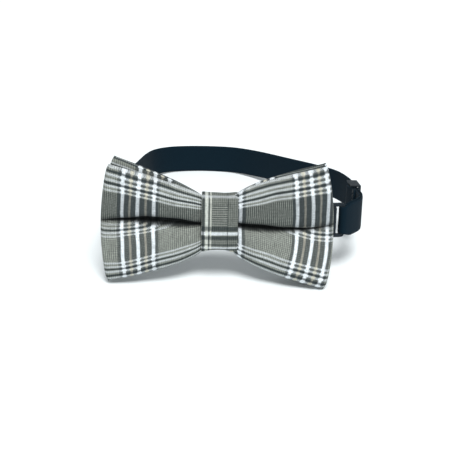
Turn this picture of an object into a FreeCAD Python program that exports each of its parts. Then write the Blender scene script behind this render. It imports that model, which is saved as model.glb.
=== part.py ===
import FreeCAD, Part
import math
import os
from FreeCAD import Placement, Rotation, Vector

# Pre-tied bow tie on an adjustable neck band, in millimetres.
#
# Everything is laid out in the dress frame: X across the bow, Y from the front of the bow
# to the back of the neck, Z up the bow, with Z = 0 at the bow's lower edge.  At the end the
# whole tie leans back about X, so that the bow's lower edge and the far end of the band both
# stand on the ground, and the ground under the middle of the tie becomes the origin.

SIZES = {
    # the two stacked bows
    "bow_width": 119.0,
    "bow_height": 66.0,
    "back_bow_width": 116.5,
    "back_bow_height": 67.0,
    "bow_middle": 33.05,
    "waist_height": 27.4,
    "waist_roundness": 0.15,
    "cloth": 0.6,
    "lining": 0.8,
    "layer_gap": 0.1,
    "front_waist_depth": 4.0,
    "front_middle_depth": 7.6,
    "front_tip_depth": 5.6,
    "front_waist_back": -2.2,
    "front_middle_back": -3.6,
    "front_tip_back": -5.4,
    "back_waist_depth": 3.3,
    "back_middle_depth": 3.2,
    "back_tip_depth": 4.0,
    "back_waist_back": 1.2,
    "back_middle_back": 0.0,
    "back_tip_back": -1.2,
    # the knot that is wrapped round the waist
    "knot_width": 19.0,
    "knot_height": 33.4,
    "knot_front": -9.0,
    "knot_back": 5.7,
    "knot_cloth": 1.1,
    "knot_corner": 2.5,
    "knot_lining": 0.8,
    "knot_lining_width": 14.0,
    "thread": 0.6,
    "thread_offset": 2.2,
    "thread_gap": 0.35,
    # the neck band
    "band_width": 19.0,
    "band_thick": 1.1,
    "band_front": 3.4,
    "band_left": -64.0,
    "band_right": 84.5,
    "band_far": 169.5,
    "band_far_left": -46.0,
    "band_far_right": 18.5,
    "band_turn": 87.7,
    "band_start": 24.0,
    "strap_gap": 0.3,
    "bar_gap": 0.15,
    # the ring and the hook that catches it
    "clasp_x": 66.4,
    "clasp_y": 3.6,
    "clasp_turn": 10.0,
    "ring_height": 19.4,
    "ring_opening": 15.8,
    "ring_left": -4.75,
    "ring_mouth_left": -2.75,
    "ring_mouth_right": 2.2,
    "ring_right": 4.4,
    "ring_thick": 2.0,
    "ring_corner": 2.2,
    "hook_thick": 1.6,
    "hook_height": 14.8,
    "hook_lean": 15.0,
    "hook_tip": 3.0,
    "hook_plane": 3.6,
    "hook_frame_height": 21.4,
    "hook_slot_height": 19.6,
    "hook_frame_left": -15.5,
    "hook_frame_right": -8.5,
    "hook_slot_left": -13.3,
    "hook_slot_right": -10.3,
    # the slider that sets the neck size
    "slider_y": 50.0,
    "slider_length": 15.0,
    "slider_height": 21.0,
    "slider_slot": 19.5,
    "slider_inner": 80.6,
    "slider_outer": 86.7,
    "slider_bar": 1.6,
    "slider_end_bar": 2.0,
    "slider_end_inner": 85.3,
    "slider_travel": 6.0,
    "strap_end_length": 20.0,
    # sewing
    "stitch_length": 2.2,
    "stitch_thick": 0.35,
}

doc = FreeCAD.newDocument("BowTie")
sheet = doc.addObject("Spreadsheet::Sheet", "Sizes")
for row, (name, value) in enumerate(SIZES.items(), start=1):
    sheet.set(f"A{row}", name)
    sheet.set(f"B{row}", str(value))
    sheet.setAlias(f"B{row}", name)
doc.recompute()


def size(name):
    """A driving dimension, read back from the sheet."""
    return float(sheet.get(name))


MID = size("bow_middle")
THICK = size("band_thick")
parts = {}


# ---------------------------------------------------------------- helpers for flat outlines


def fillet_path(points, radii):
    """Split a route of corners into straight runs and tangent arcs.

    Each item is (start, end, centre, turn): centre is None on a straight run, and turn is
    the signed angle of an arc.
    """
    pieces = []
    here = points[0]
    for before, corner, after, radius in zip(points, points[1:], points[2:], radii):
        into = (corner - before).normalize()
        out = (after - corner).normalize()
        turn = math.atan2(into.x * out.y - into.y * out.x, into.dot(out))
        reach = radius * math.tan(abs(turn) / 2)
        start = corner - into * reach
        end = corner + out * reach
        side = Vector(-into.y, into.x, 0) * math.copysign(1, turn)
        pieces.append((here, start, None, 0.0))
        pieces.append((start, end, start + side * radius, turn))
        here = end
    pieces.append((here, points[-1], None, 0.0))
    return pieces


def offset_edges(pieces, distance):
    """The edges of a route moved sideways to its left by a distance."""
    edges = []
    for start, end, centre, turn in pieces:
        if centre is None:
            along = (end - start).normalize()
            shift = Vector(-along.y, along.x, 0) * distance
            edges.append(Part.LineSegment(start + shift, end + shift))
            continue
        radius = (start - centre).Length
        scale = (radius - math.copysign(1, turn) * distance) / radius
        first = centre + (start - centre) * scale
        last = centre + (end - centre) * scale
        half = Rotation(Vector(0, 0, 1), math.degrees(turn / 2))
        middle = centre + half.multVec(start - centre) * scale
        edges.append(Part.Arc(first, middle, last))
    return edges


def ribbon(points, radii, thick):
    """The closed outline of a strip of cloth or plate, seen on edge."""
    pieces = fillet_path(points, radii)
    left = offset_edges(pieces, thick / 2)
    right = offset_edges(pieces, -thick / 2)
    ends = [
        Part.LineSegment(left[-1].EndPoint, right[-1].EndPoint),
        Part.LineSegment(left[0].StartPoint, right[0].StartPoint),
    ]
    return left + right + ends


def polygon(points):
    """A closed outline of straight edges."""
    return [Part.LineSegment(a, b) for a, b in zip(points, points[1:] + points[:1])]


def rectangle(x0, y0, x1, y1):
    return polygon([Vector(x0, y0, 0), Vector(x1, y0, 0), Vector(x1, y1, 0), Vector(x0, y1, 0)])


# ---------------------------------------------------------------- helpers for solids


def new_body(label):
    body = doc.addObject("PartDesign::Body", label)
    body.Label = label
    parts[label] = body
    return body


def plan_sketch(body, name, geometry):
    """A sketch in the body's XY plane: the outline of the piece seen from above."""
    plane = next(item for item in body.Origin.OriginFeatures if item.Role == "XY_Plane")
    sketch = body.newObject("Sketcher::SketchObject", name)
    sketch.AttachmentSupport = (plane, [""])
    sketch.MapMode = "FlatFace"
    for edge in geometry:
        sketch.addGeometry(edge, False)
    return sketch


def pad(body, geometry, height, name="Profile"):
    """Raise an outline by half of a sheet size above and below the band's middle line."""
    feature = body.newObject("PartDesign::Pad", name + "Pad")
    feature.Profile = plan_sketch(body, name, geometry)
    feature.Midplane = True
    feature.setExpression("Length", f"Sizes.{height}")
    doc.recompute()
    return feature


def pocket(body, geometry, height, name="Opening"):
    """Cut an outline out of a body over a height from the sheet."""
    feature = body.newObject("PartDesign::Pocket", name + "Pocket")
    feature.Profile = plan_sketch(body, name, geometry)
    feature.Midplane = True
    feature.setExpression("Length", f"Sizes.{height}")
    before = body.Shape.Volume
    doc.recompute()
    if body.Shape.Volume > before - 1e-6:
        raise RuntimeError(f"{body.Label}: {name} cuts nothing")
    return feature


def round_edges(body, base, radius, chosen):
    """Fillet the edges of a feature that a test picks out."""
    feature = body.newObject("PartDesign::Fillet", "Rounding")
    names = [f"Edge{n}" for n, edge in enumerate(base.Shape.Edges, start=1) if chosen(edge)]
    feature.Base = (base, names)
    feature.setExpression("Radius", f"Sizes.{radius}")
    doc.recompute()
    return feature


def custom(label, shape):
    """A piece whose form is made directly, because no single feature makes it."""
    feature = doc.addObject("Part::Feature", label)
    feature.Label = label
    feature.Shape = shape
    parts[label] = feature
    return feature


# ---------------------------------------------------------------- the two bows


def bow_section(x, height, depth, back, inset):
    """The bow cut across at one place: flat front and back, with rolled edges above and below."""
    roll = depth / 2
    middle = back - roll
    half = height / 2 - roll
    radius = roll - inset
    front = middle - radius
    rear = middle + radius
    low = MID - half
    high = MID + half
    edges = [
        Part.LineSegment(Vector(x, front, low), Vector(x, front, high)),
        Part.Arc(Vector(x, front, high), Vector(x, middle, high + radius), Vector(x, rear, high)),
        Part.LineSegment(Vector(x, rear, high), Vector(x, rear, low)),
        Part.Arc(Vector(x, rear, low), Vector(x, middle, low - radius), Vector(x, front, low)),
    ]
    return Part.Wire([edge.toShape() for edge in edges])


def spread(u):
    """0 at the waist and 1 at a tip: almost straight, but rounded where it leaves the waist."""
    soft = size("waist_roundness")
    return (math.hypot(u, soft) - soft) / (math.hypot(1.0, soft) - soft)


def between(layer, kind, w):
    """A measure of a bow at w, on the curve through its values at waist, middle and tip."""
    waist, middle, tip = (size(f"{layer}_{place}_{kind}") for place in ("waist", "middle", "tip"))
    return waist + w * (4 * middle - 3 * waist - tip) + w * w * 2 * (waist + tip - 2 * middle)


def bow_form(layer, width, height, inset):
    """One whole bow, pinched at the waist and full at both tips, as a solid inset from its face."""
    reach = size(width) / 2 - inset
    waist = size("waist_height")
    sections = []
    for step in range(-4, 5):
        w = spread(step / 4)
        high = waist + (size(height) - waist) * w
        depth = between(layer, "depth", w)
        back = between(layer, "back", w)
        sections.append(bow_section(reach * step / 4, high, depth, back, inset))
    return Part.makeLoft(sections, True, False)


def hollow_bow(layer, width, height, outside, thick):
    """A closed skin of one thickness that follows the bow's form."""
    outer = bow_form(layer, width, height, outside)
    return outer.cut(bow_form(layer, width, height, outside + thick))


def make_bow(layer, width, height):
    """The cloth of one bow, and the stiff interlining just inside it."""
    cloth = size("cloth")
    custom(f"{layer}_bow_shell", hollow_bow(layer, width, height, 0.0, cloth))
    inside = cloth + size("layer_gap")
    lining = hollow_bow(layer, width, height, inside, size("lining"))
    custom(f"{layer}_bow_interlining", lining)


# ---------------------------------------------------------------- the knot


def knot_box(inset, width):
    """The knot's outline as a block along X, inset from its outer face."""
    front = size("knot_front") + inset
    back = size("knot_back") - inset
    high = size("knot_height") - 2 * inset
    low = MID - high / 2
    block = Part.makeBox(width, back - front, high, Vector(-width / 2, front, low))
    radius = max(size("knot_corner") - inset, 0.4)
    along = [edge for edge in block.Edges if abs(edge.tangentAt(edge.FirstParameter).x) > 0.99]
    return block.makeFillet(radius, along)


def stitch_row(count, pitch, place):
    """Short stitches one above another; place gives each one's lowest corner and its size."""
    stitches = []
    for step in range(count):
        corner, length, depth, high = place((step - (count - 1) / 2) * pitch)
        stitches.append(Part.makeBox(length, depth, high, corner))
    return Part.makeCompound(stitches)


def knot_stitch_row():
    """The ladder of stitches that closes the wrap behind the knot, sunk flush into its cloth."""
    length = size("stitch_length")
    thick = size("stitch_thick")

    def place(z):
        corner = Vector(-length / 2, size("knot_back") - thick, MID + z)
        return corner, length, thick, thick

    return stitch_row(7, 3.6, place)


def make_knot():
    """The wrap goes right round the waist and the band; its lining stops short at the back."""
    width = size("knot_width")
    cloth = size("knot_cloth")
    wrap = knot_box(0.0, width).cut(knot_box(cloth, width + 2))
    custom("knot_wrap", wrap.cut(knot_stitch_row()))
    custom("knot_stitches", knot_stitch_row())

    inside = cloth + size("layer_gap")
    lining_width = size("knot_lining_width")
    sleeve = knot_box(inside, lining_width)
    sleeve = sleeve.cut(knot_box(inside + size("knot_lining"), width))
    waist_back = size("back_waist_back")
    high = size("knot_height")
    behind = Part.makeBox(width, width, high, Vector(-width / 2, waist_back, MID - high / 2))
    custom("knot_interlining", sleeve.cut(behind))


def waist_loop(inset, width, x):
    """A block round both waists, larger than them by a small margin."""
    half = size("waist_height") / 2 + inset
    front = size("front_waist_back") - size("front_waist_depth") - inset
    back = size("back_waist_back") + inset
    return Part.makeBox(width, back - front, 2 * half, Vector(x - width / 2, front, MID - half))


def make_gather_thread():
    """Turns of strong thread that pinch the two bows together under the knot."""
    thread = size("thread")
    gap = size("thread_gap")
    turns = []
    for x in (-size("thread_offset"), 0.0, size("thread_offset")):
        turns.append(waist_loop(gap + thread / 2, thread, x).cut(waist_loop(gap, 2 * thread, x)))
    custom("gather_thread", Part.makeCompound(turns))


# ---------------------------------------------------------------- the band and its hardware


def clasp(along, across):
    """A point given in the clasp's own directions: along the band, and from front to back."""
    angle = math.radians(size("clasp_turn"))
    return Vector(
        size("clasp_x") + along * math.cos(angle) - across * math.sin(angle),
        size("clasp_y") + along * math.sin(angle) + across * math.cos(angle),
        0,
    )


def clasp_rectangle(left, front, right, back):
    return polygon([clasp(left, front), clasp(right, front), clasp(right, back), clasp(left, back)])


def layer_offset(thick):
    """How far a strip's middle lies from the middle of the bar that it is folded round."""
    return thick / 2 + size("bar_gap") + THICK / 2


def make_neck_band():
    """The strap round the neck: it ends in a fold through the ring and comes back on itself."""
    step = layer_offset(size("ring_thick"))
    fold = size("ring_mouth_right") - size("bar_gap") - THICK / 2
    right = size("band_right")
    inner = size("slider_inner") + size("slider_bar") + size("bar_gap") + THICK / 2
    rise = math.tan(math.radians(size("clasp_turn")))
    outer_corner = clasp(fold, -step)
    outer_corner = Vector(right, outer_corner.y + (right - outer_corner.x) * rise, 0)
    inner_corner = clasp(fold, step)
    inner_corner = Vector(inner, inner_corner.y + (inner - inner_corner.x) * rise, 0)
    strap_end = size("slider_y") - size("strap_end_length") - size("slider_travel")
    route = [
        (Vector(size("band_start"), size("band_front"), 0), None),
        (Vector(size("band_left"), size("band_front"), 0), 18.0),
        (Vector(size("band_far_left"), size("band_far"), 0), 22.0),
        (Vector(size("band_far_right"), size("band_far"), 0), 25.0),
        (Vector(right, size("band_turn"), 0), 60.0),
        (outer_corner, 15.0),
        (clasp(fold, -step), 0.8),
        (clasp(fold, step), 0.8),
        (inner_corner, 13.5),
        (Vector(inner, strap_end - size("strap_gap"), 0), None),
    ]
    body = new_body("neck_band")
    outline = ribbon([point for point, _ in route], [r for _, r in route[1:-1]], THICK)
    pad(body, outline, "band_width")
    # the strap narrows where it is drawn through the ring
    reach = size("ring_right") + 1.0
    top = size("ring_opening") / 2 - size("bar_gap")
    outline = clasp_rectangle(fold - THICK, -step - THICK, reach, step + THICK)
    for name, sign in (("Upper", 1), ("Lower", -1)):
        cut = body.newObject("PartDesign::Pocket", name + "Gather")
        sketch = plan_sketch(body, name, outline)
        sketch.AttachmentOffset = Placement(Vector(0, 0, sign * top), Rotation())
        cut.Profile = sketch
        cut.Reversed = sign > 0
        cut.setExpression("Length", "Sizes.band_width")
        before = body.Shape.Volume
        doc.recompute()
        if body.Shape.Volume > before - 1e-6:
            raise RuntimeError(f"{name} gather cuts nothing")


def make_ring():
    body = new_body("ring")
    half = size("ring_thick") / 2
    outline = clasp_rectangle(size("ring_left"), -half, size("ring_right"), half)
    block = pad(body, outline, "ring_height")

    def corner(edge):
        flat = abs(edge.tangentAt(edge.FirstParameter).z) < 0.01
        return flat and edge.Length < size("ring_thick") + 0.1

    round_edges(body, block, "ring_corner", corner)
    mouth = clasp_rectangle(size("ring_mouth_left"), -2 * half, size("ring_mouth_right"), 2 * half)
    pocket(body, mouth, "ring_opening")


def make_hook():
    """A plate with a slot for the strap, and a tab that leans back through the ring."""
    body = new_body("hook")
    lean = math.tan(math.radians(size("hook_lean")))
    thick = size("hook_thick")
    plane = size("hook_plane")
    tab = size("ring_mouth_left") + 1.35
    left = size("hook_frame_left")
    route = [
        clasp(tab - size("hook_tip") * lean, -size("hook_tip")),
        clasp(tab + plane * lean, plane),
        clasp((size("hook_frame_left") + size("hook_frame_right")) / 2 + 2.5, plane),
    ]
    pad(body, ribbon(route, [thick], thick), "hook_height")
    frame = clasp_rectangle(left, plane - thick / 2, size("hook_frame_right"), plane + thick / 2)
    pad(body, frame, "hook_frame_height", "Frame")
    slot = clasp_rectangle(
        size("hook_slot_left"), plane - thick, size("hook_slot_right"), plane + thick
    )
    pocket(body, slot, "hook_slot_height")


def make_hook_strap():
    """The short end of the strap, folded through the hook's slot and sewn to itself."""
    step = layer_offset(size("hook_thick"))
    plane = size("hook_plane")
    fold = size("hook_slot_left") + size("bar_gap") + THICK / 2
    front = size("band_front")
    behind = front + THICK + size("layer_gap")
    route = [
        (Vector(size("band_start") + size("strap_gap"), front, 0), None),
        (Vector(42.0, front, 0), 20.0),
        (clasp(-17.0, plane - step), 20.0),
        (clasp(fold, plane - step), 0.8),
        (clasp(fold, plane + step), 0.8),
        (clasp(-16.5, plane + step), 4.0),
        (Vector(44.5, behind, 0), 4.0),
        (Vector(35.0, behind, 0), None),
    ]
    body = new_body("hook_strap")
    outline = ribbon([point for point, _ in route], [r for _, r in route[1:-1]], THICK)
    pad(body, outline, "band_width")

    thick = size("stitch_thick")

    def place(z):
        return Vector(38.0, behind + THICK / 2, MID + z), thick, thick, 1.8

    custom("hook_stitches", stitch_row(6, 2.9, place))


def make_slider():
    """A three-bar slider: the strap runs between its two outer end bars and its inner middle bar."""
    body = new_body("slider")
    inner = size("slider_inner")
    outer = size("slider_outer")
    centre = size("slider_y")
    half = size("slider_length") / 2
    pad(body, rectangle(inner, centre - half, outer, centre + half), "slider_height")
    beyond = 2.0
    window = half - size("slider_end_bar")
    end_face = size("slider_end_inner")
    bar_face = inner + size("slider_bar")
    bar = 1.1
    void = [
        Vector(inner - beyond, centre - half - beyond, 0),
        Vector(end_face, centre - half - beyond, 0),
        Vector(end_face, centre - window, 0),
        Vector(outer + beyond, centre - window, 0),
        Vector(outer + beyond, centre + window, 0),
        Vector(end_face, centre + window, 0),
        Vector(end_face, centre + half + beyond, 0),
        Vector(inner - beyond, centre + half + beyond, 0),
        Vector(inner - beyond, centre + bar, 0),
        Vector(bar_face, centre + bar, 0),
        Vector(bar_face, centre - bar, 0),
        Vector(inner - beyond, centre - bar, 0),
    ]
    pocket(body, polygon(void), "slider_slot")


def make_slider_strap():
    """The strap's far end, folded round the slider's middle bar and sewn to itself."""
    centre = size("slider_y")
    step = layer_offset(size("slider_bar"))
    bar_middle = size("slider_inner") + size("slider_bar") / 2
    outer = bar_middle + step
    inner = bar_middle - step
    fold = centre + 1.1 + size("bar_gap") + THICK / 2
    joined = outer - THICK - size("layer_gap")
    route = [
        (Vector(outer, centre - size("strap_end_length"), 0), None),
        (Vector(outer, fold, 0), 0.8),
        (Vector(inner, fold, 0), 0.8),
        (Vector(inner, centre - 3.0, 0), 4.0),
        (Vector(joined, centre - 7.0, 0), 4.0),
        (Vector(joined, centre - 14.5, 0), None),
    ]
    body = new_body("slider_strap")
    outline = ribbon([point for point, _ in route], [r for _, r in route[1:-1]], THICK)
    pad(body, outline, "band_width")

    thick = size("stitch_thick")

    def place(z):
        return Vector(joined - THICK / 2 - thick, centre - 12.0, MID + z), thick, thick, 1.8

    custom("slider_stitches", stitch_row(6, 2.9, place))


# ---------------------------------------------------------------- build, place, check, write

make_bow("front", "bow_width", "bow_height")
make_bow("back", "back_bow_width", "back_bow_height")
make_knot()
make_gather_thread()
make_neck_band()
make_ring()
make_hook()
make_hook_strap()
make_slider()
make_slider_strap()
doc.recompute()

# the band's sketches lie in its own middle plane, so those bodies are lifted to it first
far_edge = size("band_far") + THICK / 2
lean_angle = math.degrees(math.atan2(MID - size("band_width") / 2, far_edge))
lean = Rotation(Vector(1, 0, 0), -lean_angle)
for piece in parts.values():
    raised = MID if piece.TypeId == "PartDesign::Body" else 0.0
    piece.Placement = Placement(lean.multVec(Vector(0, 0, raised)), lean)
doc.recompute()

bounds = FreeCAD.BoundBox()
for piece in parts.values():
    bounds.add(piece.Shape.optimalBoundingBox(False))
to_origin = Vector(-bounds.Center.x, -bounds.Center.y, -bounds.ZMin)
for piece in parts.values():
    piece.Placement.Base = piece.Placement.Base + to_origin
doc.recompute()

for item in doc.Objects:
    if "Invalid" in item.State or "Error" in item.State:
        raise RuntimeError(f"{item.Label} failed: {item.State}")
for label, piece in parts.items():
    if piece.Shape.isNull() or not piece.Shape.isValid():
        raise RuntimeError(f"{label} has no valid shape")

os.makedirs("parts", exist_ok=True)
for label, piece in parts.items():
    piece.Shape.exportStep(f"parts/{label}.step")
    print(f"{label}: {len(piece.Shape.Solids)} solid(s), {piece.Shape.Volume:.1f} mm3")
print(f"leans back {lean_angle:.3f} degrees; dress frame origin moved to {to_origin}")
print(f"overall {bounds.XLength:.2f} x {bounds.YLength:.2f} x {bounds.ZLength:.2f} mm")
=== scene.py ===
import math

import bpy
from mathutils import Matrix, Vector, noise


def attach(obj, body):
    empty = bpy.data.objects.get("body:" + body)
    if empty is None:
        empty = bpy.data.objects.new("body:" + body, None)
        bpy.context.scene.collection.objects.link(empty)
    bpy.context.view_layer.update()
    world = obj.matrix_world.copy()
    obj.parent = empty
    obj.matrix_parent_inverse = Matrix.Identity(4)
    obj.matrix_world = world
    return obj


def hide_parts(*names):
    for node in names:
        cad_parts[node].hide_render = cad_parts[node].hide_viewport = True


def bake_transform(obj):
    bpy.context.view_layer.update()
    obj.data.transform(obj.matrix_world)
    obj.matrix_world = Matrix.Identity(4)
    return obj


# A ready-tied bow tie on its adjustable neck band, standing as it is laid down: the bow leans
# back a little on the far end of the band.
#
# Shapes are written in millimetres in the dress frame: X across the bow, Y from the front of the
# bow to the back of the neck, Z up the bow from its lower edge.  dress() turns them into metres
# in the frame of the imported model.

LEAN = math.radians(7.885)                    # how far the bow leans back
DRESS_ORIGIN = (-12.103, -81.719, 0.026)      # the dress frame's origin, in the model's
MIDDLE = 33.05                                # height of the middle of the bow and the band


def dress(x, y, z):
    """A point of the dress frame, in millimetres, as a point of the model, in metres."""
    cos_lean, sin_lean = math.cos(LEAN), math.sin(LEAN)
    return Vector((
        (x + DRESS_ORIGIN[0]) / 1000,
        (y * cos_lean + z * sin_lean + DRESS_ORIGIN[1]) / 1000,
        (-y * sin_lean + z * cos_lean + DRESS_ORIGIN[2]) / 1000,
    ))


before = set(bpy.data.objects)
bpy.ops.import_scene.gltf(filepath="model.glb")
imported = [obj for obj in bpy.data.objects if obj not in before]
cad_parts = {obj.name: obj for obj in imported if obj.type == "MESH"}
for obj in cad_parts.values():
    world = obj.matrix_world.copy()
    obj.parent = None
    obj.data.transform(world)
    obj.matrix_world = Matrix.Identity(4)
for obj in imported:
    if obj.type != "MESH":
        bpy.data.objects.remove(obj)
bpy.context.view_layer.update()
bpy.context.scene.view_settings.view_transform = "Standard"


# ------------------------------------------------------------------ small helpers


def ease(x):
    """A smooth step from 0 at 0 to 1 at 1."""
    x = min(max(x, 0.0), 1.0)
    return x * x * (3 - 2 * x)


def mix(a, b, f):
    """f of the way from a to b."""
    return a + (b - a) * f


def soft_power(w, power, soft=0.02):
    """w to a power, with its start eased so that it has no vertical tangent."""
    top = (1 + soft) ** power - soft ** power
    return ((w + soft) ** power - soft ** power) / top


def wander(x, y, z, scale, amount):
    """A smooth, repeatable irregularity of hand-made cloth."""
    return noise.noise(Vector((x, y, z)) / scale) * amount


def new_mesh(name, points, faces, uvs, material, folds=None):
    """A mesh piece from points in metres, faces and one UV pair per point.

    folds says how deep each point lies in a fold of the cloth, from 0 to 1.
    """
    mesh = bpy.data.meshes.new(name)
    mesh.from_pydata([tuple(p) for p in points], [], faces)
    layer = mesh.uv_layers.new(name="Cloth")
    for loop in mesh.loops:
        layer.data[loop.index].uv = uvs[loop.vertex_index]
    for face in mesh.polygons:
        face.use_smooth = True
    depth = mesh.attributes.new("Fold", "FLOAT", "POINT")
    if folds:
        depth.data.foreach_set("value", folds)
    mesh.materials.append(material)
    piece = bpy.data.objects.new(name, mesh)
    bpy.context.scene.collection.objects.link(piece)
    return piece


def apply_modifiers(piece):
    """Bake a piece's modifiers into its mesh."""
    graph = bpy.context.evaluated_depsgraph_get()
    mesh = bpy.data.meshes.new_from_object(piece.evaluated_get(graph))
    piece.modifiers.clear()
    piece.data = mesh


def shrink_inside(piece, distance):
    """Move every point inwards along its normal."""
    piece.data.update()
    normals = [vertex.normal.copy() for vertex in piece.data.vertices]
    for vertex, normal in zip(piece.data.vertices, normals):
        vertex.co -= normal * distance


def weld(piece, distance):
    """Join points that lie within a distance of each other."""
    modifier = piece.modifiers.new("Weld", "WELD")
    modifier.merge_threshold = distance


def thicken(piece, thickness):
    """Give a closed skin its cloth thickness, inwards."""
    modifier = piece.modifiers.new("Cloth", "SOLIDIFY")
    modifier.thickness = thickness
    modifier.offset = -1


# ------------------------------------------------------------------ material helpers


class Nodes:
    """Short names for building one material's nodes."""

    def __init__(self, name):
        self.material = bpy.data.materials.new(name)
        self.material.use_nodes = True
        self.tree = self.material.node_tree
        self.shader = self.tree.nodes["Principled BSDF"]

    def join(self, value, socket):
        """Link a socket's value, or set a constant one."""
        if isinstance(value, bpy.types.NodeSocket):
            self.tree.links.new(value, socket)
        elif isinstance(value, tuple) and len(value) == 3 and socket.type == "RGBA":
            socket.default_value = value + (1.0,)
        else:
            socket.default_value = value

    def math(self, operation, first, second=0.0, third=None, clamp=False):
        node = self.tree.nodes.new("ShaderNodeMath")
        node.operation = operation
        node.use_clamp = clamp
        self.join(first, node.inputs[0])
        self.join(second, node.inputs[1])
        if third is not None:
            self.join(third, node.inputs[2])
        return node.outputs[0]

    def times(self, first, second):
        return self.math("MULTIPLY", first, second)

    def mix(self, first, second, factor):
        """A colour between two: all of the second where factor is 1."""
        node = self.tree.nodes.new("ShaderNodeMix")
        node.data_type = "RGBA"
        self.join(factor, node.inputs["Factor"])
        self.join(first, node.inputs[6])
        self.join(second, node.inputs[7])
        return node.outputs[2]

    def scaled(self, color, amount):
        """A colour made lighter or darker by an amount."""
        node = self.tree.nodes.new("ShaderNodeVectorMath")
        node.operation = "SCALE"
        self.join(color, node.inputs[0])
        self.join(amount, node.inputs["Scale"])
        return node.outputs[0]

    def noise(self, scale, detail=2.0, roughness=0.5, vector=None):
        node = self.tree.nodes.new("ShaderNodeTexNoise")
        node.inputs["Scale"].default_value = scale
        node.inputs["Detail"].default_value = detail
        node.inputs["Roughness"].default_value = roughness
        if vector is not None:
            self.join(vector, node.inputs["Vector"])
        return node.outputs["Fac"]

    def slub(self, u, v, per_u, per_v):
        """Uneven threads: fine across them and long along them."""
        place = self.tree.nodes.new("ShaderNodeCombineXYZ")
        self.join(self.times(u, per_u), place.inputs[0])
        self.join(self.times(v, per_v), place.inputs[1])
        return self.noise(1.0, 2.0, 0.6, place.outputs[0])

    def cloth_coordinates(self):
        """The two cloth coordinates, in millimetres."""
        uv = self.tree.nodes.new("ShaderNodeUVMap")
        uv.uv_map = "Cloth"
        split = self.tree.nodes.new("ShaderNodeSeparateXYZ")
        self.join(uv.outputs[0], split.inputs[0])
        return split.outputs[0], split.outputs[1]

    def object_coordinates(self):
        node = self.tree.nodes.new("ShaderNodeTexCoord")
        return node.outputs["Object"]

    def bands(self, coordinate, low, high, bands, soft=0.22):
        """A mask that is a given strength inside each band of a coordinate, and 0 elsewhere.

        bands holds (middle, width, strength) in the coordinate's own units, in rising order.
        """
        node = self.tree.nodes.new("ShaderNodeMapRange")
        node.inputs["From Min"].default_value = low
        node.inputs["From Max"].default_value = high
        self.join(coordinate, node.inputs["Value"])
        ramp = self.tree.nodes.new("ShaderNodeValToRGB")
        self.join(node.outputs[0], ramp.inputs[0])
        stops = ramp.color_ramp.elements
        stops[0].position = 0.0
        stops[0].color = (0, 0, 0, 1)
        stops[1].position = 1.0
        stops[1].color = (0, 0, 0, 1)
        for middle, width, strength in bands:
            half = width / 2
            for place, level in ((-half - soft, 0), (-half + soft, strength),
                                 (half - soft, strength), (half + soft, 0)):
                stop = stops.new((middle + place - low) / (high - low))
                stop.color = (level, level, level, 1)
        return ramp.outputs[0]

    def repeat(self, coordinate, start, length):
        """A coordinate wrapped into one repeat of the cloth: start to start + length."""
        return self.math("WRAP", coordinate, start + length, start)

    def wave(self, coordinate, period):
        """0 to 1 and back over each period."""
        turn = self.times(coordinate, 2 * math.pi / period)
        return self.math("MULTIPLY_ADD", self.math("SINE", turn), 0.5, 0.5)

    def bump(self, height, strength, distance):
        node = self.tree.nodes.new("ShaderNodeBump")
        node.inputs["Strength"].default_value = strength
        node.inputs["Distance"].default_value = distance
        self.join(height, node.inputs["Height"])
        self.join(node.outputs[0], self.shader.inputs["Normal"])

    def surface(self, color, roughness, sheen=0.0, specular=0.5):
        self.join(color, self.shader.inputs["Base Color"])
        self.join(roughness, self.shader.inputs["Roughness"])
        self.shader.inputs["Sheen Weight"].default_value = sheen
        self.shader.inputs["Sheen Roughness"].default_value = 0.5
        self.shader.inputs["Specular IOR Level"].default_value = specular


# ------------------------------------------------------------------ the plaid cloth

# The yarns.  The lighter cream is a cream stripe where it crosses a light line, the ground lies
# between the stripes, and the block is a dark band in the upper lobe: partly the dark of the weft
# and partly painted shade of the lobe's lower half, which faces down to the crease.
WHITE = (0.74, 0.79, 0.82)
CREAM = (0.34, 0.325, 0.275)
CREAM_LIGHT = (0.60, 0.59, 0.49)
GROUND = (0.034, 0.043, 0.046)
# the block's colour: dark weft with painted shade of the upper lobe's downward-facing half
BLOCK_WEFT_AND_SHADE = (0.050, 0.058, 0.056)
TAUPE_LIGHT = (0.305, 0.325, 0.29)
TAUPE_DARK = (0.018, 0.024, 0.025)
INK = (0.009, 0.017, 0.020)
FULL_DARK = (0.002, 0.004, 0.005)
KNOT_LIGHT = (0.185, 0.20, 0.18)
KNOT_LINES = (0.27, 0.285, 0.255)
KNOT_STRIPE = (0.60, 0.63, 0.58)
KNOT_FINE_STRIPE = (0.60, 0.62, 0.56)

# Everything below is in millimetres of cloth.
PIN_PITCH = 1.06                # the fine dark lines of the taupe field
THREAD_PITCH = 0.46             # the threads of the weave
WARP_REPEAT = 46.9              # from one group of stripes to the next
WARP_CENTRE = 4.1               # the middle of the first group
GROUP_WIDTH = 21.6              # the dark ground of a group
WHITE_AT = (-8.2, 0.0, 8.2)     # the stripes of a group, from its middle
CREAM_AT = (-4.1, 4.1)
WHITE_WIDTH = 1.75
WHITE_SQUARE = 2.7              # a stripe spreads where it crosses a light line
CREAM_WIDTH = 1.1
CREAM_SQUARE = 2.1

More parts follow.
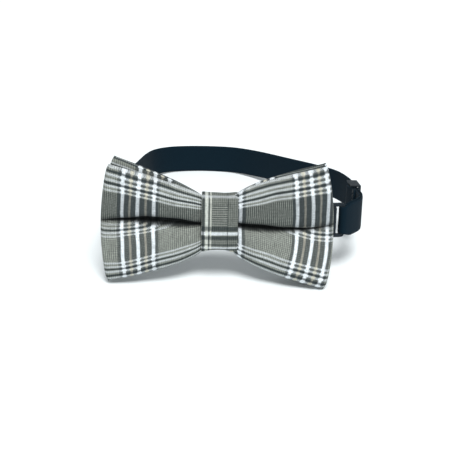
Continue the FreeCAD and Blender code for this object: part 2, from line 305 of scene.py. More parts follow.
# The lines of the weft, up the cloth from the crease: the middle, width and strength of each.
CLOTH_REACH = 40.0
LIGHTS_BELOW = [(-31.7, 1.4, 0.85), (-27.6, 1.3, 0.9), (-24.6, 1.1, 0.9), (-22.2, 1.1, 0.85),
                (-6.3, 0.9, 0.7), (-4.3, 1.2, 0.8)]
LIGHTS_ABOVE = [(-1.7, 0.9, 0.6), (0.4, 1.0, 0.4), (19.6, 0.9, 0.75), (21.8, 1.0, 0.9),
                (24.6, 1.1, 0.95), (27.2, 1.2, 0.95), (30.7, 1.3, 0.8)]
DARK_LINES = [(-34.8, 3.4, 0.9), (-30.0, 1.2, 1.0), (-26.1, 1.0, 0.95), (-2.9, 0.9, 0.85),
              (23.1, 1.1, 1.0), (28.8, 1.1, 1.0)]
# the block band: dark weft and painted shade over the lower half of the upper lobe
BLOCK_WEFT_AND_SHADE_BAND = [(10.3, 17.0, 1.0)]

# The back bow shows only its edges.  At the top its lines lie closer together.
BACK_LIGHTS_ABOVE = [(19.6, 0.9, 0.75), (21.8, 1.0, 0.9), (24.6, 1.1, 0.95), (29.0, 1.1, 0.95),
                     (31.6, 1.1, 0.95), (34.2, 1.1, 0.95)]
BACK_DARK_LINES = [(-34.8, 3.4, 0.9), (-30.0, 1.2, 1.0), (-26.1, 1.0, 0.95), (23.1, 1.1, 1.0),
                   (28.8, 1.1, 1.0), (30.3, 1.1, 0.9), (32.9, 1.1, 0.9)]


def cloth_surface(nodes, u, v, color, warp_on_top):
    """Threads, sheen and slight colour change of a woven wool-look cloth."""
    fuzz = nodes.noise(1400.0, 3.0, 0.6, nodes.object_coordinates())
    tone = nodes.noise(60.0, 2.0, 0.5, nodes.object_coordinates())
    warp_slub = nodes.slub(u, v, 2.1, 0.22)
    weft_slub = nodes.slub(u, v, 0.22, 2.1)
    shade = nodes.math("MULTIPLY_ADD", fuzz, 0.7, -0.35)
    shade = nodes.math("MULTIPLY_ADD", tone, 0.3, shade)
    shade = nodes.math("MULTIPLY_ADD", warp_slub, 1.1, shade)
    shade = nodes.math("MULTIPLY_ADD", weft_slub, 0.9, shade)
    # all four average to 1.15, so the cloth keeps its mean colour
    shade = nodes.math("ADD", shade, -0.15)
    color = nodes.scaled(color, shade)
    warp = nodes.wave(u, THREAD_PITCH)
    weft = nodes.wave(v, THREAD_PITCH)
    height = nodes.times(warp, warp_on_top)
    under = nodes.math("SUBTRACT", 1.0, warp_on_top)
    height = nodes.math("MULTIPLY_ADD", weft, under, height)
    height = nodes.math("MULTIPLY_ADD", fuzz, 0.35, height)
    nodes.surface(color, 0.9, sheen=0.06, specular=0.2)
    nodes.bump(height, 0.4, 0.0002)
    return nodes.material


def twill(nodes, u, v):
    """Where the warp lies on top: fine diagonal ribs."""
    diagonal = nodes.math("ADD", u, v)
    rib = nodes.wave(diagonal, 2 * THREAD_PITCH)
    return nodes.math("MULTIPLY_ADD", rib, 0.7, 0.15)


def pinned(nodes, coordinate, light, dark, amount):
    """A colour with fine darker pin lines across one coordinate."""
    pin = nodes.times(nodes.wave(coordinate, PIN_PITCH), amount)
    return nodes.mix(light, dark, pin)


def shade_folds(nodes, color):
    """Cloth deep in a fold gets no light to speak of."""
    fold = nodes.tree.nodes.new("ShaderNodeAttribute")
    fold.attribute_name = "Fold"
    return nodes.mix(color, FULL_DARK, nodes.times(fold.outputs["Fac"], 0.95))


def bow_cloth(name, lights_above, dark_lines):
    nodes = Nodes(name)
    u, v = nodes.cloth_coordinates()
    start = WARP_CENTRE - WARP_REPEAT / 2
    stop = start + WARP_REPEAT
    across = nodes.repeat(u, start, WARP_REPEAT)

    def stripes(places, width):
        """The stripes of one colour in a group."""
        return nodes.bands(across, start, stop,
                           [(WARP_CENTRE + place, width, 1.0) for place in places])

    ground = stripes((0.0,), GROUP_WIDTH)
    whites = stripes(WHITE_AT, WHITE_WIDTH)
    white_squares = stripes(WHITE_AT, WHITE_SQUARE)
    creams = stripes(CREAM_AT, CREAM_WIDTH)
    cream_squares = stripes(CREAM_AT, CREAM_SQUARE)

    # one ramp doesn't hold all the light lines
    light_low = nodes.bands(v, -CLOTH_REACH, 0.0, LIGHTS_BELOW)
    light_high = nodes.bands(v, -5.0, CLOTH_REACH, lights_above)
    lights = nodes.math("MAXIMUM", light_low, light_high)
    darks = nodes.bands(v, -CLOTH_REACH, CLOTH_REACH, dark_lines)
    # the block mask: partly dark weft, partly painted shade of the upper lobe's underside
    block_and_shade = nodes.bands(v, -CLOTH_REACH, CLOTH_REACH, BLOCK_WEFT_AND_SHADE_BAND)

    on_top = twill(nodes, u, v)
    warp = pinned(nodes, u, TAUPE_LIGHT, TAUPE_DARK, 1.0)
    warp = nodes.mix(warp, GROUND, ground)
    weft = pinned(nodes, v, TAUPE_LIGHT, TAUPE_DARK, 0.55)
    weft = nodes.mix(weft, BLOCK_WEFT_AND_SHADE, block_and_shade)
    weft = nodes.mix(weft, WHITE, lights)
    weft = nodes.mix(weft, INK, darks)
    color = nodes.mix(weft, warp, on_top)

    # a dark line covers most of the warp, and the ground about half of what isn't a light line
    color = nodes.mix(color, INK, nodes.times(darks, 0.7))
    bare = nodes.times(ground, nodes.math("MULTIPLY_ADD", lights, -0.45, 0.5))
    color = nodes.mix(color, GROUND, bare)

    # the stripes are packed threads: they cover more than the ground does, they spread where
    # they cross a light line, and a dark line covers part of them; the block dims them too, partly
    # as dark weft and partly as painted shade
    shown = nodes.math("MULTIPLY_ADD", block_and_shade, -0.38, 0.93)
    shown = nodes.math("MULTIPLY_ADD", darks, -0.72, shown, clamp=True)
    stripe = nodes.times(whites, shown)
    square = nodes.times(white_squares, lights)
    cream = nodes.times(creams, nodes.times(shown, 0.75))
    cream_square = nodes.times(cream_squares, nodes.times(lights, 0.85))
    color = nodes.mix(color, CREAM, cream)
    color = nodes.mix(color, CREAM_LIGHT, cream_square)
    color = nodes.mix(color, WHITE, nodes.math("MAXIMUM", stripe, square))
    color = shade_folds(nodes, color)
    return cloth_surface(nodes, u, v, color, on_top)


def knot_cloth():
    """The strip of the same cloth that is wrapped round the middle.

    u runs across the knot and v up it, both from its middle, in millimetres.
    """
    nodes = Nodes("knot_cloth")
    u, v = nodes.cloth_coordinates()

    def upright(lines, soft=0.22):
        return nodes.bands(u, -12.0, 12.0, lines, soft)

    def level(lines):
        return nodes.bands(v, -20.0, 20.0, lines)

    stripe = upright([(-7.1, 1.6, 1.0)])
    fine_stripe = upright([(-4.9, 0.8, 0.9)])
    ground = upright([(-8.9, 1.0, 1.0), (-5.8, 0.7, 0.7)])
    ink_line = upright([(4.2, 0.35, 1.0)], soft=0.1)
    lights = level([(-12.5, 1.1, 0.8), (-4.5, 1.7, 1.0)])
    darks = level([(-14.1, 1.2, 0.9), (-10.8, 0.8, 0.8), (-7.0, 1.9, 0.9), (-1.8, 2.3, 0.9)])
    lined = nodes.times(upright([(-0.1, 8.4, 1.0)]), level([(5.4, 11.8, 1.0)]))

    on_top = twill(nodes, u, v)
    warp = pinned(nodes, u, KNOT_LIGHT, TAUPE_DARK, 0.75)
    weft = pinned(nodes, v, KNOT_LIGHT, TAUPE_DARK, 0.55)
    weft = nodes.mix(weft, WHITE, lights)
    weft = nodes.mix(weft, INK, darks)
    color = nodes.mix(weft, warp, on_top)

    # a patch of fine level lines on a darker ground
    fine_lines = nodes.math("POWER", nodes.wave(v, 1.25), 2.0)
    color = nodes.mix(color, GROUND, nodes.times(lined, 0.5))
    color = nodes.mix(color, KNOT_LINES, nodes.times(fine_lines, nodes.times(lined, 0.9)))

    color = nodes.mix(color, WHITE, nodes.times(lights, 0.45))
    color = nodes.mix(color, INK, nodes.times(darks, 0.5))
    color = nodes.mix(color, INK, nodes.times(ground, 0.75))
    shown = nodes.math("MULTIPLY_ADD", darks, -0.55, 0.78)
    shown = nodes.math("MULTIPLY_ADD", lights, 0.2, shown, clamp=True)
    color = nodes.mix(color, KNOT_STRIPE, nodes.times(stripe, shown))
    color = nodes.mix(color, KNOT_FINE_STRIPE, nodes.times(fine_stripe, shown))
    color = nodes.mix(color, INK, nodes.times(ink_line, 0.8))

    # the top edge is painted lighter: a painted highlight where it rounds over towards the light
    # above
    top_highlight = nodes.bands(v, -20.0, 24.0, [(18.6, 4.6, 0.4)], soft=1.0)
    color = nodes.mix(color, WHITE, top_highlight)
    return cloth_surface(nodes, u, v, color, on_top)


# ------------------------------------------------------------------ other materials


def band_elastic():
    """Blue-black woven elastic: fine ribs along it, and a soft satin sheen."""
    nodes = Nodes("band_elastic")
    u, v = nodes.cloth_coordinates()
    ribs = nodes.wave(v, 0.62)
    picks = nodes.wave(u, 0.5)
    fuzz = nodes.noise(1200.0, 2.0, 0.6, nodes.object_coordinates())
    tone = nodes.math("MULTIPLY_ADD", picks, 0.25, nodes.times(fuzz, 0.5))
    color = nodes.mix((0.0016, 0.0090, 0.0160), (0.0045, 0.0150, 0.0245), tone)
    nodes.surface(color, 0.85, sheen=0.02, specular=0.08)
    nodes.bump(nodes.math("MULTIPLY_ADD", picks, 0.4, ribs), 0.3, 0.0001)
    return nodes.material


def black_plastic():
    """Moulded blue-black plastic with a faint grain and worn, duller patches."""
    nodes = Nodes("black_plastic")
    grain = nodes.noise(2500.0, 2.0, 0.5, nodes.object_coordinates())
    wear = nodes.noise(140.0, 3.0, 0.6, nodes.object_coordinates())
    color = nodes.mix((0.006, 0.011, 0.016), (0.016, 0.024, 0.031), wear)
    nodes.surface(color, nodes.math("MULTIPLY_ADD", wear, 0.25, 0.38), specular=0.2)
    nodes.bump(grain, 0.08, 0.00005)
    return nodes.material


def sewing_thread():
    """Twisted dark thread."""
    nodes = Nodes("sewing_thread")
    twist = nodes.noise(3000.0, 1.0, 0.5, nodes.object_coordinates())
    color = nodes.mix((0.02, 0.026, 0.03), (0.07, 0.08, 0.085), twist)
    nodes.surface(color, 0.6, sheen=0.1, specular=0.4)
    nodes.bump(twist, 0.4, 0.0001)
    return nodes.material


def felt_lining():
    """Stiff felted white lining."""
    nodes = Nodes("felt_lining")
    fuzz = nodes.noise(700.0, 4.0, 0.7, nodes.object_coordinates())
    color = nodes.mix((0.62, 0.61, 0.57), (0.86, 0.85, 0.82), fuzz)
    nodes.surface(color, 0.95, specular=0.2)
    nodes.bump(fuzz, 0.5, 0.0003)
    return nodes.material


# ------------------------------------------------------------------ the two bows

BOW_COLUMNS = 200       # from tip to tip
LOBE_ROWS = 52          # from the crease to an edge
WELD_WITHIN = 2e-6      # metres: the two faces meet at the tips

KNOT_EDGE = 8.5         # half the length of waist that the knot hides
KNOT_PINCH = 1.6        # how far the hidden waist is drawn in, above and below
CORNER_CUT = 0.9        # how far the corners of a tip are rounded off
UPPER_FALL = 1.5        # how gently the upper lobe falls into the crease, and the lower one
LOWER_FALL = 0.45
OVERHANG = 0.42         # how far the sides of the crease are lifted, for each mm of its depth
FULL_SHADE = 1.5        # how deep in the crease the cloth is in full shade
GATHER_DEPTH = 0.4      # the small gathers that fan out of the knot
GATHER_REACH = 0.2      # how far out along the wing they fade

HALF_CLOTH = 33.0       # from the crease to an edge of the cloth
SWALLOWED_BELOW = 7.5   # how much of each lobe's cloth the crease takes in at the knot
SWALLOWED_ABOVE = 5.0
TURNED_UNDER = 2.0      # how much is turned over at the top edge

# Each wing: how far its top and bottom corners reach, how far its tip bulges between them, the
# heights of its corners and the curve its edges follow to them, and where the crease between its
# two lobes lies (waist, half way, tip, as a part of half the height).
#
# Each bow: where its waist, front and back lie (the last two at the waist, half way and tip), how
# its edges roll, how far its lobes puff out, where its wandering starts, and hem, which is how far
# up the cloth the top edge lies and how much cloth there is from there to the middle, or None for
# a bow that shows the whole of its cloth.
FRONT_BOW = {
    "left": {"reach_top": 58.9, "reach_bottom": 60.4, "bulge": 3.2, "top": 65.4, "bottom": 0.5,
             "top_power": 0.82, "bottom_power": 0.60, "crease": (-0.04, 0.09, 0.05),
             "depths": (2.4, 4.2, 4.8, 2.4, 1.2), "openings": (0.2, 1.0, 0.8, 0.1, 0.05),
             "flare": 0.0, "stripe_bend": (1.6, 0.8), "phase": 0.0},
    "right": {"reach_top": 58.0, "reach_bottom": 59.4, "bulge": 4.1, "top": 65.4, "bottom": -1.3,
              "top_power": 0.60, "bottom_power": 0.57, "crease": (-0.05, -0.065, 0.05),
              "depths": (2.6, 4.2, 3.4, 1.8, 1.2), "openings": (0.55, 0.6, 0.1, 0.05, 0.05),
              "flare": 4.6, "stripe_bend": (2.4, 5.0), "phase": 0.0},
    "waist_top": 48.1, "waist_bottom": 16.4,
    "front": (-6.2, -10.4, -11.0), "back": (-2.2, -3.9, -5.4),
    "roll": 2.8, "puff": 2.6, "seed": 0.0, "hem": None,
}
BACK_BOW = {
    "left": {"reach_top": 56.2, "reach_bottom": 58.0, "bulge": 5.6, "top": 68.8, "bottom": 3.0,
             "top_power": 0.80, "bottom_power": 0.65, "crease": (0.0, 0.0, 0.0),
             "depths": (0.0, 0.0, 0.0, 0.0, 0.0), "openings": (1.0, 1.0, 1.0, 1.0, 1.0),
             "flare": 0.0, "stripe_bend": (1.6, 0.8), "phase": -7.8},
    "right": {"reach_top": 58.4, "reach_bottom": 58.4, "bulge": 3.6, "top": 66.5, "bottom": 0.6,
              "top_power": 0.62, "bottom_power": 0.46, "crease": (0.0, 0.0, 0.0),
              "depths": (0.0, 0.0, 0.0, 0.0, 0.0), "openings": (1.0, 1.0, 1.0, 1.0, 1.0),
              "flare": 0.0, "stripe_bend": (2.4, 4.0), "phase": -18.2},
    "waist_top": 46.9, "waist_bottom": 17.5,
    "front": (-2.0, -3.1, -5.0), "back": (1.2, 0.3, -1.2),
    "roll": 1.9, "puff": 0.0, "seed": 31.0, "hem": (30.2, 56.0),
}


def three_point(values, w):
    """A smooth run through a value at the waist, half way out and at the tip."""
    waist, middle, tip = values
    return waist + w * (4 * middle - 3 * waist - tip) + w * w * 2 * (waist + tip - 2 * middle)


def stations(values, w):
    """A smooth run through evenly spaced values from the waist to the tip."""
    place = min(max(w, 0.0), 1.0) * (len(values) - 1)
    index = min(int(place), len(values) - 2)
    return mix(values[index], values[index + 1], ease(place - index))


def wing_of(bow, side):
    """The left wing of a bow for -1, and the right one for 1."""
    return bow["left"] if side < 0 else bow["right"]


def outwards(wing, s):
    """How far out along the wing a place is: 0 at the knot's edge and 1 at the tip."""
    reach = (wing["reach_top"] + wing["reach_bottom"]) / 2
    return max(0.0, (s * reach - KNOT_EDGE) / (reach - KNOT_EDGE))


def edges(bow, wing, w, along):
    """The heights of a wing's bottom and top edges."""
    inside = ease(min(along / KNOT_EDGE, 1.0))
    waist_top = mix(bow["waist_top"] - KNOT_PINCH, bow["waist_top"], inside)
    waist_bottom = mix(bow["waist_bottom"] + KNOT_PINCH, bow["waist_bottom"], inside)
    top = mix(waist_top, wing["top"], soft_power(w, wing["top_power"]))
    bottom = mix(waist_bottom, wing["bottom"], soft_power(w, wing["bottom_power"]))
    return bottom, top


def fullness(bow, w, to_edge, to_tip):
    """How full the bow is: 1 inside, down to 0 over the roll of its edges and tip."""
    roll = bow["roll"] * mix(0.75, 1.0, w)
    near_edge = 1 - min(to_edge / roll, 1.0)
    near_tip = 1 - min(to_tip / roll, 1.0)
    return math.sqrt(max(0.0, 1 - min(1.0, near_edge * near_edge + near_tip * near_tip)))


def crease_depth(wing, w, lobe, from_crease):
    """How deep the cloth dips at a height above or below the middle of the crease."""
    depth = stations(wing["depths"], w)
    opening = stations(wing["openings"], w)
    fall = UPPER_FALL if lobe > 0 else LOWER_FALL
    return depth * math.exp(-(max(0.0, from_crease - opening) / fall) ** 1.2)


def bow_point(bow, side, s, lobe, f, face):
    """A point of a bow's surface, its place in the wing's height (-1 to 1), and its shade.

    side is -1 or 1, s runs from the middle of the bow (0) to the tip (1), lobe is -1 below the
    crease and 1 above it, f runs from the crease (0) to the edge (1), face is -1 in front.
    """
    wing = wing_of(bow, side)
    w = outwards(wing, s)
    crease = three_point(wing["crease"], w)
    t = crease + lobe * f * (1 - lobe * crease)

    reach = mix(wing["reach_bottom"], wing["reach_top"], (t + 1) / 2)
    along = s * reach
    bottom, top = edges(bow, wing, w, along)
    half = (top - bottom) / 2
    z = (top + bottom) / 2 + t * half
    corner = abs(t) ** 16 * CORNER_CUT
    x = along + (wing["bulge"] * (1 - t * t) - corner) * w ** 0.45 * ease(w * 3)

    filled = fullness(bow, w, (1 - abs(t)) * half, (1 - s) * reach)
    front = three_point(bow["front"], w)
    back = three_point(bow["back"], w)
    middle = (front + back) / 2
    flare = wing["flare"] * ease(w) * ease((-t + 0.1) / 1.1)
    if face > 0:
        y = middle + (back - middle) * filled
        shade = 0.0
    else:
        puff = bow["puff"] * math.sin(math.pi * f) ** 0.75 * (0.3 + 1.5 * w * (1.2 - w))
        dip = crease_depth(wing, w, lobe, f * half * (1 - lobe * crease))
        gather = math.sin(t * 15.0 + bow["seed"]) * GATHER_DEPTH
        gather *= math.exp(-w / GATHER_REACH) * ease(w * 12)
        y = middle - (middle - front + puff + gather) * filled + dip * filled
        y += wander(x * side + bow["seed"], t * 20, 3.0, 12.0, 0.7) * filled * ease(w * 4)
        z += OVERHANG * dip
        shade = min(1.0, dip / FULL_SHADE)
    return Vector((x * side, y - flare, z)), t, shade


def cloth_uv(bow, side, s, t, face, place):
    """Where a point lies on the cloth, in millimetres.

    The stripes stand across the wing and bend outwards towards its edges.  Near the knot the
    crease swallows the lower edge of the upper lobe and the top of the lower one.
    """
    wing = wing_of(bow, side)
    w = outwards(wing, s)
    bend = wing["stripe_bend"][0 if t > 0 else 1]
    across = abs(place.x) + bend * t * t * ease(w * 1.6)
    centred = ease(abs(place.x) / KNOT_EDGE)
    middle_phase = (bow["left"]["phase"] + bow["right"]["phase"]) / 2
    u = side * across + mix(middle_phase, wing["phase"], centred)

    crease = three_point(wing["crease"], w)
    if face < 0 and bow["hem"]:
        hem, spread = bow["hem"]
        v = hem - (1 - t) * spread
    elif t < crease:
        down = (t + 1) / (1 + crease)
        v = t * HALF_CLOTH - SWALLOWED_BELOW * (1 - ease((w - 0.15) / 0.75)) * down
    else:
        up = (t - crease) / (1 - crease)
        v = t * HALF_CLOTH + SWALLOWED_ABOVE * (1 - ease(w / 0.8)) * (1 - up) - TURNED_UNDER * up
    u += wander(place.x, place.z, bow["seed"], 13.0, 0.6)
    v += wander(place.x, place.z, bow["seed"] + 50.0, 15.0, 0.8)
    return u, v


def bow_skin(name, bow, columns, lobe_rows, inset, thick, material):
    """A closed skin in the form of one bow: a loop of points round it for each column.

    inset and thick, in metres, are how far the skin lies inside the bow and its thickness.
    """
    def spaced(step):
        """Rows lie closer together near the crease and the edge."""
        f = step / lobe_rows
        return mix(f, f * f * (3 - 2 * f), 0.8)

    up = [(-1, spaced(step)) for step in range(lobe_rows, 0, -1)]
    up += [(1, spaced(step)) for step in range(lobe_rows + 1)]
    rows = [(lobe, f, -1) for lobe, f in up] + [(lobe, f, 1) for lobe, f in up[-2:0:-1]]
    points, uvs, folds = [], [], []
    for column in range(columns + 1):
        turn = column / columns * 2 - 1
        side = -1 if turn < 0 else 1
        s = mix(abs(turn), math.sin(abs(turn) * math.pi / 2), 0.75)
        for lobe, f, face in rows:
            place, t, shade = bow_point(bow, side, s, lobe, f, face)
            points.append(dress(*place))
            uvs.append(cloth_uv(bow, side, s, t, face, place))
            folds.append(shade)
    ring = len(rows)
    faces = []
    for column in range(columns):
        for row in range(ring):
            a = column * ring + row
            b = column * ring + (row + 1) % ring
            faces.append((a, a + ring, b + ring, b))
    piece = new_mesh(name, points, faces, uvs, material, folds)
    weld(piece, WELD_WITHIN)
    apply_modifiers(piece)
    shrink_inside(piece, inset)
    thicken(piece, thick)
    apply_modifiers(piece)
    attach(piece, "bow")
    return piece


def make_bow(name, bow, cloth, lining):
    """One bow: its cloth, and the stiff lining just inside it."""
    piece = bow_skin(name, bow, BOW_COLUMNS, LOBE_ROWS, 0.0, 0.0005, cloth)
    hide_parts(f"{name}_shell")

    inner = bow_skin(f"{name}_lining", bow, BOW_COLUMNS // 2, LOBE_ROWS // 3, 0.0008,
                     0.0003, lining)
    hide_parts(f"{name}_interlining")


# ------------------------------------------------------------------ the knot

KNOT = {"middle_x": 1.1, "half_width": 9.8, "front": -9.4, "back": 5.7, "top": 48.6,
        "bottom": 16.9, "corner": 3.6, "cloth": 1.1}
KNOT_LINING = {"middle_x": 1.1, "half_width": 7.4, "front": -7.9, "back": 4.4, "top": 47.3,
               "bottom": 18.7, "corner": 2.2, "cloth": 0.6}
KNOT_AROUND = 128       # points round the strip
KNOT_ACROSS = 40        # and across it
KNOT_ROLL = 0.12        # the part of its half width over which each side edge rolls
KNOT_CROWN = 0.7        # how far its front stands out in the middle
KNOT_LIFT = 2.0         # how far its underside is drawn up, and its top down
KNOT_DIP = 0.5


def rounded_loop(front, back, bottom, top, radius, count):
    """Points and outward directions round a rectangle with rounded corners.

    They are evenly spaced, and start behind and below.
    """
    corners = [
        (back - radius, bottom + radius, -90), (back - radius, top - radius, 0),
        (front + radius, top - radius, 90), (front + radius, bottom + radius, 180),
    ]
    runs = []
    for index, (y, z, angle) in enumerate(corners):
        runs.append(("arc", y, z, angle, math.pi * radius / 2))
        next_y, next_z, _ = corners[(index + 1) % 4]
        runs.append(("line", y, z, angle + 90, math.hypot(next_y - y, next_z - z)))
    total = sum(run[4] for run in runs)
    loop = []
    for step in range(count):
        left = step / count * total
        for kind, y, z, angle, length in runs:
            if left <= length:
                break
            left -= length
        if kind == "arc":
            turn = math.radians(angle) + left / radius
            direction = (math.cos(turn), math.sin(turn))
            place = (y + radius * direction[0], z + radius * direction[1])
        else:
            turn = math.radians(angle)
            direction = (math.cos(turn), math.sin(turn))
            along = (-direction[1], direction[0])
            place = (y + radius * direction[0] + along[0] * left,
                     z + radius * direction[1] + along[1] * left)
        loop.append((place, direction))
    return loop


def knot_tube(name, knot, material):
    """A wrapped strip: crowned in front, drawn in below, with rolled side edges."""
    loop = rounded_loop(knot["front"], knot["back"], knot["bottom"], knot["top"],
                        knot["corner"], KNOT_AROUND)
    section = []
    for step in range(KNOT_ACROSS + 1):
        section.append((math.sin(math.pi * (step / KNOT_ACROSS - 0.5)), 1))
    for step in range(KNOT_ACROSS - 1, 0, -1):
        section.append((math.sin(math.pi * (step / KNOT_ACROSS - 0.5)), -1))
    points, uvs = [], []
    for (y, z), (ny, nz) in loop:
        for b, face in section:
            into_edge = max(0.0, (abs(b) - (1 - KNOT_ROLL)) / KNOT_ROLL)
            round_edge = math.sqrt(max(0.0, 1 - into_edge ** 2))
            crown = 1 - b * b
            out = knot["cloth"] / 2 * (face * round_edge - 1)
            out += KNOT_CROWN * crown * max(0.0, -ny)
            out -= KNOT_LIFT * crown * max(0.0, -nz) * ease((-y + 1.0) / 6.0)
            out -= KNOT_DIP * crown * max(0.0, nz)
            out += wander(b * 10, y, z, 7.0, 0.3)
            x = knot["middle_x"] + b * knot["half_width"]
            points.append(dress(x, y + ny * out, z + nz * out))
            height = z - (KNOT["top"] + KNOT["bottom"]) / 2
            depth = (y - knot["front"]) * (1 if height > 0 else -1)
            uvs.append((b * knot["half_width"], height + depth))
    ring = len(section)
    faces = []
    for turn in range(KNOT_AROUND):
        following = (turn + 1) % KNOT_AROUND
        for step in range(ring):
            after = (step + 1) % ring
            faces.append((turn * ring + step, turn * ring + after,
                          following * ring + after, following * ring + step))
    piece = new_mesh(name, points, faces, uvs, material)
    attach(piece, "bow")
    return piece


def make_knot(cloth, lining):
    """The wrapped strip, and the stiff lining just inside it."""
    piece = knot_tube("knot", KNOT, cloth)
    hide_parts("knot_wrap")

    inner = knot_tube("knot_lining", KNOT_LINING, lining)
    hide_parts("knot_interlining")


# ------------------------------------------------------------------ straps

BAND_WIDTH = 19.0
BAND_THICK = 1.1
BAND_ROLL = 0.08                          # the part of its half width over which an edge rolls
BEAD_AT, BEAD_HALF = 0.90, 0.05           # the bead along each edge, in half widths
BEAD_HEIGHT = 0.06
CLASP = (66.4, 3.6, math.radians(10.0))   # the clasp's middle, and how it is turned
RING_BAR = 2.2                            # the sides of the bars that the straps fold round,
HOOK_BAR = -13.3                          # along the clasp from its middle
STRAP_GAP = 0.15                          # between a bar and the fold round it


def clasp(along, across):
    """A point of the plan given in the clasp's own directions."""
    x, y, angle = CLASP
    return (x + along * math.cos(angle) - across * math.sin(angle),
            y + along * math.sin(angle) + across * math.cos(angle))


def half_turn(steps=8):
    """The angles of a fold round a bar."""
    return [math.pi * k / steps for k in range(steps + 1)]


def run_length(route):
    return sum(math.dist(a, b) for a, b in zip(route, route[1:]))


def smooth_route(points, step):
    """A smooth plan curve through points, as evenly spaced places."""
    def at(a, b, c, d, f):
        """Between b and c, on the curve that also passes a and d."""
        return 0.5 * (2 * b + (c - a) * f + (2 * a - 5 * b + 4 * c - d) * f * f
                      + (3 * b - a - 3 * c + d) * f ** 3)

    padded = [points[0]] + list(points) + [points[-1]]
    fine = []
    for a, b, c, d in zip(padded, padded[1:], padded[2:], padded[3:]):
        length = math.dist(b, c)
        count = max(2, round(length / 0.15))
        for k in range(count):
            f = k / count
            fine.append((at(a[0], b[0], c[0], d[0], f), at(a[1], b[1], c[1], d[1], f)))
    fine.append(points[-1])
    route, travelled = [fine[0]], 0.0
    for before, after in zip(fine, fine[1:]):
        travelled += math.dist(before, after)
        if travelled >= step:
            route.append(after)
            travelled = 0.0
    route.append(fine[-1])
    return route


def strap(name, route, material, width=None):
    """A flat strap on edge along a plan route, with beaded edges and a closed surface.

    width gives the strap's width at a fraction of its length.
    """
    across = [math.sin(math.pi * (k / 12 - 0.5)) for k in range(13)]
    section = [(b, 1) for b in across] + [(b, -1) for b in across[-2:0:-1]]
    points, uvs = [], []
    run = 0.0
    total = run_length(route)
    for index, place in enumerate(route):
        before = route[max(index - 1, 0)]
        after = route[min(index + 1, len(route) - 1)]
        tangent = Vector((after[0] - before[0], after[1] - before[1])).normalized()
        normal = (-tangent.y, tangent.x)
        if index:
            run += math.dist(route[index - 1], place)
        wide = width(run / total) if width else BAND_WIDTH
        for b, face in section:
            into_edge = max(0.0, (abs(b) - (1 - BAND_ROLL)) / BAND_ROLL)
            round_edge = math.sqrt(max(0.0, 1 - into_edge ** 2))
            bead = BEAD_HEIGHT * math.exp(-((abs(b) - BEAD_AT) / BEAD_HALF) ** 2)
            out = face * (BAND_THICK / 2 + bead) * round_edge
            x = place[0] + normal[0] * out
            y = place[1] + normal[1] * out
            points.append(dress(x, y, MIDDLE + b * wide / 2))
            uvs.append((run, b * wide / 2))
    ring = len(section)
    faces = []
    for index in range(len(route) - 1):
        for step in range(ring):
            a = index * ring + step
            b = index * ring + (step + 1) % ring
            faces.append((a, b, b + ring, a + ring))
    faces.append(tuple(range(ring))[::-1])
    last = (len(route) - 1) * ring
    faces.append(tuple(range(last, last + ring)))
    piece = new_mesh(name, points, faces, uvs, material)
    return piece, total


def make_neck_band(material):
    """Round the neck, through the ring, and back on itself towards the slider."""
    outward = [
        (24.0, 3.4), (6.0, 3.4), (-14.0, 3.4), (-34.0, 3.6), (-50.0, 4.6), (-59.0, 9.6),
        (-62.6, 20.0), (-62.0, 38.0), (-57.2, 72.0), (-52.0, 108.0), (-47.6, 138.0),
        (-42.0, 154.5), (-31.0, 165.0), (-15.0, 169.2), (2.0, 169.0), (17.0, 164.8),
        (33.0, 151.5), (52.0, 128.5), (70.0, 106.0), (79.5, 90.0), (83.6, 72.0),
        (84.5, 56.0), (84.5, 42.0), (84.3, 28.0), (81.8, 16.6), (76.6, 8.6),
    ]
    fold_deep, fold_half = 1.0, 1.7
    fold_at = RING_BAR - STRAP_GAP - BAND_THICK / 2 + fold_deep
    outward.append(clasp(fold_at + 1.8, -1.75))
    round_bar = [clasp(fold_at - fold_deep * math.sin(a), -fold_half * math.cos(a))
                 for a in half_turn()]
    inward = [clasp(fold_at + 2.2, 1.85), (76.2, 11.4), (80.6, 18.6), (82.6, 23.5)]
    route = smooth_route(outward + round_bar + inward, 1.0)
    total = run_length(route)
    fold = clasp(fold_at - fold_deep, 0)
    fold_index = min(range(len(route)), key=lambda k: math.dist(route[k], fold))
    fold_place = run_length(route[:fold_index + 1])
    bunched, flat_again = 15.2, 9.0

    def width(place):
        """The band bunches up where it is folded in the ring."""
        near = abs(place * total - fold_place)
        return mix(bunched, BAND_WIDTH, ease((near - 1.5) / flat_again))

    piece, length = strap("neck_strap", route, material, width)
    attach(piece, "band")
    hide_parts("neck_band")


def make_hook_strap(material):
    """The short end of the band, folded through the hook's slot and sewn behind."""
    fold_at = HOOK_BAR + STRAP_GAP + BAND_THICK / 2
    radius, slot = 1.5, 3.6
    points = [(24.0, 3.4), (34.0, 3.4), (42.0, 3.3), clasp(-18.0, 2.1)]
    points += [clasp(fold_at - radius + radius * math.sin(a), slot - radius * math.cos(a))
               for a in half_turn()]
    points += [clasp(-17.0, 4.9), (45.0, 4.75), (40.0, 4.62), (35.0, 4.6)]
    piece, length = strap("hook_strap_end", smooth_route(points, 0.6), material)
    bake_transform(piece)
    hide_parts("hook_strap")


def make_slider_strap(material):
    """The far end of the band, folded round the slider's middle bar and sewn to itself."""
    bar, gap = 50.0, 0.3
    outer, inner, joined = 82.9, 79.9, 81.75
    points = [(82.6, 23.5), (82.75, 28.0), (outer, 34.0), (outer, 44.0), (outer, 49.0)]
    middle = (outer + inner) / 2
    radius = (outer - inner) / 2
    points += [(middle + radius * math.cos(a), bar + gap + radius * math.sin(a))
               for a in half_turn()]
    points += [(inner, 48.0), (80.6, 44.5), (joined, 40.0), (joined, 35.5)]
    piece, length = strap("slider_strap_end", smooth_route(points, 0.6), material)
    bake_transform(piece)
    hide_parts("slider_strap")


# ------------------------------------------------------------------ hardware and sewing


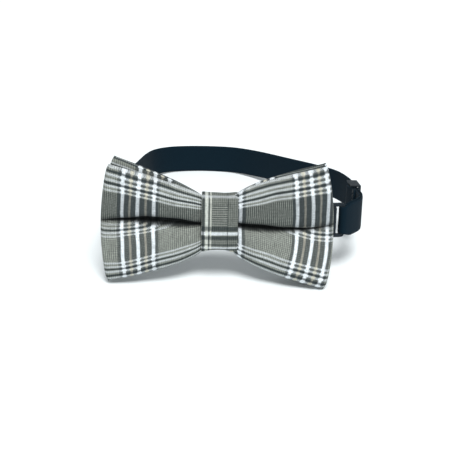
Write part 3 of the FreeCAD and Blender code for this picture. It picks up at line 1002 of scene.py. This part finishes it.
def finish_node(node, material, bevel=None):
    """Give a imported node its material, and soften its edges."""
    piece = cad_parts[node]
    piece.data.materials.clear()
    piece.data.materials.append(material)
    if bevel:
        modifier = piece.modifiers.new("Edges", "BEVEL")
        modifier.width = bevel
        modifier.segments = 3
        modifier.limit_method = "ANGLE"
        modifier.angle_limit = math.radians(35)
        modifier.harden_normals = False


# ------------------------------------------------------------------ room

TABLE_REACH = 3.0                       # metres, to each side
TABLE_COLOR = (0.86, 0.905, 0.915)
SURROUND_COLOR = (0.95, 0.98, 1.0, 1.0)
SURROUND_STRENGTH = 0.45
KEY_STRENGTH = 3.2
KEY_SPREAD = math.radians(26)           # a broad lamp, so that the shadows are soft
KEY_DIRECTION = (-0.10, 0.55, -1.0)     # down, backwards and a little to the left

EYE_AZIMUTH = math.radians(-2.03)
EYE_ELEVATION = math.radians(24.02)
EYE_ROLL = math.radians(1.51)
EYE_DISTANCE = 440.1                    # millimetres
EYE_AIM = (4.075, 0.0, 31.95)           # from the dress frame's origin
FOCAL_LENGTH, SENSOR_WIDTH = 64.704, 36.0


def make_room():
    """A white table, a broad soft light from above and in front, and a white surround."""
    mesh = bpy.data.meshes.new("table")
    reach = TABLE_REACH
    mesh.from_pydata([(-reach, -reach, 0), (reach, -reach, 0), (reach, reach, 0),
                      (-reach, reach, 0)], [], [(0, 1, 2, 3)])
    table = bpy.data.objects.new("table", mesh)
    bpy.context.scene.collection.objects.link(table)
    nodes = Nodes("table")
    nodes.surface(TABLE_COLOR, 0.7, specular=0.2)
    mesh.materials.append(nodes.material)

    world = bpy.data.worlds.new("surround")
    world.use_nodes = True
    background = world.node_tree.nodes["Background"]
    background.inputs["Color"].default_value = SURROUND_COLOR
    background.inputs["Strength"].default_value = SURROUND_STRENGTH
    bpy.context.scene.world = world

    key = bpy.data.lights.new("key", "SUN")
    key.energy = KEY_STRENGTH
    key.angle = KEY_SPREAD
    lamp = bpy.data.objects.new("key", key)
    lamp.rotation_euler = Vector(KEY_DIRECTION).to_track_quat("-Z", "Y").to_euler()
    bpy.context.scene.collection.objects.link(lamp)


def make_camera():
    """The eye: a little above, straight in front, about 440 mm from the bow."""
    aim = Vector(EYE_AIM) + Vector(DRESS_ORIGIN)
    level = math.cos(EYE_ELEVATION)
    back = Vector((math.sin(EYE_AZIMUTH) * level, -math.cos(EYE_AZIMUTH) * level,
                   math.sin(EYE_ELEVATION)))
    data = bpy.data.cameras.new("eye")
    data.sensor_width = SENSOR_WIDTH
    data.lens = FOCAL_LENGTH
    data.clip_start = 0.01
    eye = bpy.data.objects.new("eye", data)
    eye.location = (aim + back * EYE_DISTANCE) / 1000
    eye.rotation_euler = back.to_track_quat("Z", "Y").to_euler()
    eye.rotation_euler.rotate_axis("Z", EYE_ROLL)
    bpy.context.scene.collection.objects.link(eye)
    bpy.context.scene.camera = eye


# ------------------------------------------------------------------ the scene

make_camera()
make_room()

plaid = bow_cloth("bow_cloth", LIGHTS_ABOVE, DARK_LINES)
back_plaid = bow_cloth("back_bow_cloth", BACK_LIGHTS_ABOVE, BACK_DARK_LINES)
elastic = band_elastic()
plastic = black_plastic()
thread = sewing_thread()
lining = felt_lining()

make_bow("front_bow", FRONT_BOW, plaid, lining)
make_bow("back_bow", BACK_BOW, back_plaid, lining)
make_knot(knot_cloth(), lining)
make_neck_band(elastic)
make_hook_strap(elastic)
make_slider_strap(elastic)

for node in ("ring", "hook", "slider"):
    finish_node(node, plastic, bevel=0.0003)
for node in ("gather_thread", "knot_stitches", "hook_stitches", "slider_stitches"):
    finish_node(node, thread)
